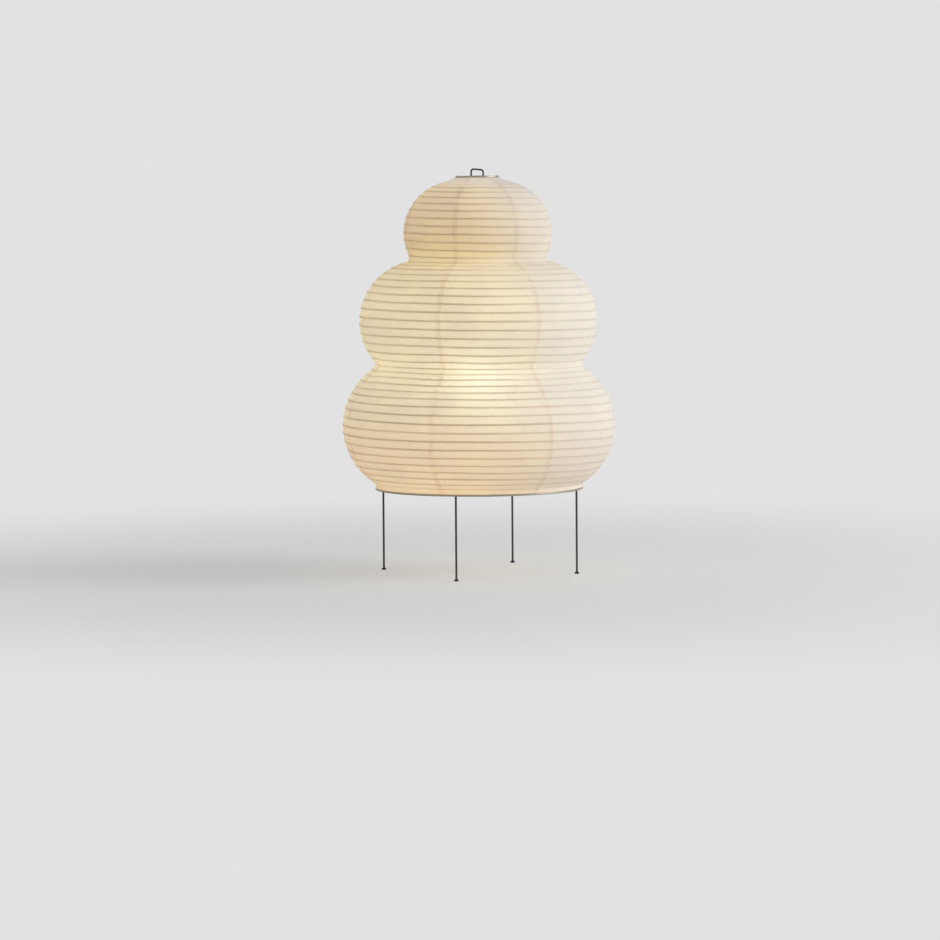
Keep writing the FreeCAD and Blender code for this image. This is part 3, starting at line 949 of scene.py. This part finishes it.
def add_section(height, depth):
    """A small closed rectangle that a curve carries along itself."""
    bpy.ops.curve.primitive_bezier_circle_add()
    section = bpy.context.object
    for point, corner in zip(section.data.splines[0].bezier_points, ((1, 1), (1, -1), (-1, -1), (-1, 1))):
        point.handle_left_type = point.handle_right_type = "VECTOR"
        point.co = Vector((corner[0] * depth / 2, corner[1] * height / 2, 0)) * millimetre
    section.data.resolution_u = 1
    return section


def wind_rib():
    """The rib from the top rim to the bottom rim."""
    section = add_section(rib_height, rib_depth)
    bpy.ops.curve.primitive_bezier_curve_add()
    rib = bpy.context.object
    rib.name = "bamboo_rib"
    line = rib.data.splines[0]
    steps = rib_turns * points_per_turn
    line.bezier_points.add(steps - 1)
    for step, point in enumerate(line.bezier_points):
        turn = step / points_per_turn
        radius, height = on_mould(rib_length(turn), rib_inset)
        point.handle_left_type = point.handle_right_type = "AUTO"
        point.co = around_axis(radius, height, first_seam + math.tau * turn)
        point.radius = 1 + joint_swell * (step % joint_spacing == 0)
    rib.data.twist_mode = "Z_UP"
    rib.data.resolution_u = curve_steps
    rib.data.bevel_mode = "OBJECT"
    rib.data.bevel_object = section
    rib.data.use_fill_caps = True
    pick(rib)
    bpy.ops.object.convert(target="MESH")
    bpy.data.objects.remove(section)
    rib.data.materials.clear()
    rib.data.materials.append(split_bamboo)
    return rib


bamboo_rib = wind_rib()
print("rib faces:", len(bamboo_rib.data.polygons))

# %% [markdown]
# ## The hoop on the top rim
#
# The paper's upper edge is glued to the top ring, and a narrow hoop of sheet metal covers that edge.
# It is a short open cylinder, given its thickness by Solidify, with its edges broken by a small bevel.

# %% Set the hoop on the top rim
hoop_radius = 31.6
hoop_foot = 0.1         # above the paper's edge
hoop_height = 2.5
hoop_thickness = 0.6
hoop_edge = 0.15
hoop_sides = 96
metal_crisp_angle = 35


def add_top_hoop():
    """A narrow metal hoop round the top ring."""
    bpy.ops.mesh.primitive_cylinder_add(
        vertices=hoop_sides, radius=hoop_radius * millimetre, depth=hoop_height * millimetre,
        end_fill_type="NOTHING")
    hoop = bpy.context.object
    hoop.name = "top_hoop"
    rise = (top_rim[1] + hoop_foot + hoop_height / 2) * millimetre
    bpy.ops.transform.translate(value=(0, 0, rise))
    bpy.ops.object.transform_apply(location=True, rotation=True, scale=True)
    wall = hoop.modifiers.new("wall", "SOLIDIFY")
    wall.thickness = hoop_thickness * millimetre
    wall.offset = -1
    edges = hoop.modifiers.new("edges", "BEVEL")
    edges.width = hoop_edge * millimetre
    edges.segments = 2
    edges.limit_method = "ANGLE"
    apply_all(hoop)
    smooth(hoop, metal_crisp_angle)
    return hoop


clear_selection()
top_hoop = add_top_hoop()
print("hoop's top at", round(max(corner.co.z for corner in top_hoop.data.vertices), 4), "m")

# %% [markdown]
# ## Screw threads
#
# The bulb's cap is thin plated brass with a round thread rolled into its wall. The stem is a steel
# tube with a finer thread along its whole length, so that its nuts can stand where they are needed.
# Both are made from rows of points up the wall. A row says how deep the thread may be at its height:
# nothing at a plain end, the full depth in the middle, and a short run between the two.

# %% The rows of a threaded wall
cap_thread = {
    "pitch": 3.6, "depth": 0.7, "wall": 0.6, "plain_foot": 3.5, "plain_head": 4.5,
    "floor_hole": 5.4,      # the cap is turned in under the bulb, round a hole for its insulator
}
stem_thread = {
    "pitch": 1.5, "depth": 0.45, "wall": 1.0, "plain_foot": 0.5, "plain_head": 0.5,
    "floor_hole": None,
}
rows_per_thread_turn = 8
thread_fade = 1.0       # the run over which a thread reaches its full depth


def thread_rows(low, high, radius, thread):
    """Radius, height and thread depth of each row of a threaded wall, from the bottom up, in millimetres."""
    rows = []
    if thread["floor_hole"]:
        rows.append((thread["floor_hole"], low, 0))
        rows.append((radius - thread["wall"], low, 0))
    step = thread["pitch"] / rows_per_thread_turn
    count = round((high - low) / step)
    for row in range(count + 1):
        height = low + (high - low) * row / count
        from_end = min(height - low - thread["plain_foot"], high - thread["plain_head"] - height)
        rows.append((radius, height, thread["depth"] * max(0, min(1, from_end / thread_fade))))
    return rows


print("turns of thread in ten millimetres:", round(10 / cap_thread["pitch"], 1), "on the cap,",
      round(10 / stem_thread["pitch"], 1), "on the stem")

# %% [markdown]
# ## Rolling a thread
#
# A flat grid is rolled round the axis and its two side edges are merged. The wall is drawn in between
# one turn of the thread and the next, by a cosine that also goes with the angle, which makes rings
# into a screw. The crests keep the solid's own radius, so each piece fits where the solid did.

# %% Roll the threads
thread_columns = 48
thread_crisp_angle = 40
merge_distance = 0.01


def roll_thread(name, node, thread):
    """A threaded sleeve in the place of a solid."""
    low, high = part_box(node)
    rows = thread_rows(low.z / millimetre, high.z / millimetre, high.x / millimetre, thread)
    bpy.ops.mesh.primitive_grid_add(x_subdivisions=thread_columns, y_subdivisions=len(rows) - 1, size=1)
    sleeve = bpy.context.object
    sleeve.name = name
    for corner in sleeve.data.vertices:
        turn = corner.co.x + 0.5
        radius, height, depth = rows[round((corner.co.y + 0.5) * (len(rows) - 1))]
        valley = (1 + math.cos(math.tau * (height / thread["pitch"] - turn))) / 2
        corner.co = around_axis(radius - depth * valley, height, math.tau * turn)
    pick(sleeve)
    bpy.ops.object.mode_set(mode="EDIT")
    bpy.ops.mesh.select_all(action="SELECT")
    bpy.ops.mesh.remove_doubles(threshold=merge_distance * millimetre)
    bpy.ops.object.mode_set(mode="OBJECT")
    wall = sleeve.modifiers.new("wall", "SOLIDIFY")
    wall.thickness = thread["wall"] * millimetre
    wall.offset = -1
    apply_all(sleeve)
    smooth(sleeve, thread_crisp_angle)
    return sleeve


clear_selection()
screw_cap = roll_thread("screw_cap", "bulb_cap", cap_thread)
clear_selection()
threaded_stem = roll_thread("threaded_stem", "stem_tube", stem_thread)
print("thread faces:", len(screw_cap.data.polygons), len(threaded_stem.data.polygons))

# %% [markdown]
# ## Wires, rings and fittings
#
# These solids already have their real shape, so they stay, and only their finish changes. Thin
# painted wire shows little more than its colour and a soft line of light, so its finish has a fine
# unevenness in colour and gloss. The rings have a bronze-grey paint that shines like metal.

# %% Paint, metal and moulded parts
paint_cloud_grain = 120.0
paint_skin_grain = 900.0
paint_relief = 0.00004
paint_unevenness = (-0.08, 0.1)         # of roughness
turning_grain = 1400.0
along_turning = (0.1, 0.1, 1)
metal_relief = 0.00003
metal_unevenness = (-0.06, 0.1)
moulding_grain = 600.0
moulding_relief = 0.00003


def painted_wire(name, dark, light, roughness):
    """Satin paint on wire, uneven in tone and gloss."""
    finish = Finish(name, roughness=roughness, Specular_IOR_Level=0.45)
    cloud = finish.noise(paint_cloud_grain, detail=4.0)
    finish.give("Base Color", finish.blend(cloud, dark, light))
    finish.vary_gloss(cloud, roughness, paint_unevenness)
    finish.bump(finish.noise(paint_skin_grain), paint_relief)
    return finish.material


def bright_metal(name, dark, light, roughness):
    """Metal, bare, plated or thinly lacquered, with fine turning marks."""
    finish = Finish(name, roughness=roughness, Metallic=1.0)
    marks = finish.noise(turning_grain, detail=2.0, stretch=along_turning)
    finish.give("Base Color", finish.blend(marks, dark, light))
    finish.vary_gloss(marks, roughness, metal_unevenness)
    finish.bump(marks, metal_relief)
    return finish.material


def moulded(name, dark, light, roughness):
    """Moulded plastic, rubber or glazed clay with a faint grain."""
    finish = Finish(name, roughness=roughness)
    cloud = finish.noise(moulding_grain, detail=4.0)
    finish.give("Base Color", finish.blend(cloud, dark, light))
    finish.bump(cloud, moulding_relief)
    return finish.material


# %% [markdown]
# ## The bulb's glass
#
# A frosted globe looks evenly white when it is lit, but for its neck, which is further from the light
# and warmer. So its finish is white glass that gives light itself, with the light's colour blended
# over the lower half by height. It is also the lamp that lights the wires inside the lantern.

# %% The lit bulb
bulb_low, bulb_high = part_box("bulb_glass")
bulb_middle_height = bulb_high.z - (bulb_high.x - bulb_low.x) / 2
bulb_strength = 3.9
bulb_light_at_foot = (0.35, 0.28, 0.203, 1)
bulb_light_at_middle = (0.72, 0.93, 0.94, 1)
frost_grain = 300.0


def frosted_glass():
    """The bulb's white glass, brightest from its middle up."""
    finish = Finish("lit_bulb", roughness=0.5, Emission_Strength=bulb_strength)
    frost = finish.noise(frost_grain)
    finish.give("Base Color", finish.blend(frost, shade(0.8), shade(0.9)))
    up_the_bulb = finish.ramp(finish.height(), bulb_low.z, bulb_middle_height)
    finish.give("Emission Color", finish.blend(up_the_bulb, bulb_light_at_foot, bulb_light_at_middle))
    return finish.material


print("the bulb's middle is", round(bulb_middle_height, 4), "m up")

# %% [markdown]
# ## Each solid gets its finish
#
# The table of solids says which finish each piece has. A finish is made once and given to every piece
# that has it, so a change in one place shows on all of them.

# %% Give each solid its finish
bronze_grey = [shade(0.34, (1, 0.90, 0.70)), shade(0.50, (1, 0.93, 0.76))]
finishes = {
    "dark_wire": painted_wire("dark_wire_paint", shade(0.034), shade(0.066, (1, 0.97, 0.94)), 0.42),
    "ring_wire": bright_metal("bronze_grey_paint", *bronze_grey, 0.42),
    "tip_rubber": moulded("black_rubber", shade(0.012), shade(0.03), 0.7),
    "zinc_steel": bright_metal("zinc_plate", shade(0.48), shade(0.66, (1, 0.99, 0.96)), 0.32),
    "bush_plastic": moulded("black_plastic", shade(0.012), shade(0.028), 0.45),
    "holder_plastic": moulded("white_plastic", shade(0.66, (1, 0.97, 0.92)), shade(0.74, (1, 0.98, 0.94)),
                              0.3),
    "insert_ceramic": moulded("white_clay", shade(0.72, (1, 0.98, 0.94)), shade(0.82, (1, 0.98, 0.95)), 0.35),
    "contact_brass": bright_metal("brass", shade(0.6, (1, 0.76, 0.36)), shade(0.78, (1, 0.78, 0.40)), 0.28),
    "frosted_glass": frosted_glass(),
    "cap_metal": bright_metal("nickel_plate", shade(0.58), shade(0.72), 0.25),
    "black_glass": moulded("black_glass", shade(0.01), shade(0.02), 0.12),
}
slot_of_node = {row["node"]: row["material_slot"] for row in frame["record"]["subparts"]}
for name, node in frame["nodes"].items():
    if slot_of_node[name] in finishes:
        node.data.materials.clear()
        node.data.materials.append(finishes[slot_of_node[name]])
top_hoop.data.materials.append(finishes["ring_wire"])
screw_cap.data.materials.append(finishes["cap_metal"])
threaded_stem.data.materials.append(finishes["zinc_steel"])
print("finishes given to", sum(slot in finishes for slot in slot_of_node.values()), "solids")

# %% [markdown]
# ## What moves with what
#
# The paper, the rib and the hoop ride on the lantern's own body, the screw cap on the bulb and the
# stem on the stand. When the bottom ring is pushed up, the real lantern folds like a bellows; here the
# paper and the rib keep their full height, and each only gets a mesh of its own.

for number, strip in enumerate(paper_strips, start=1):
    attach(strip, "shade")
    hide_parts(f"paper_gore_{number}")
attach(bamboo_rib, "shade")
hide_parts("rib_spiral")
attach(top_hoop, "shade")
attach(screw_cap, "bulb")
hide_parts("bulb_cap")
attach(threaded_stem, "stand")
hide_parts("stem_tube")
for piece in paper_strips + [bamboo_rib]:
    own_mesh(piece)
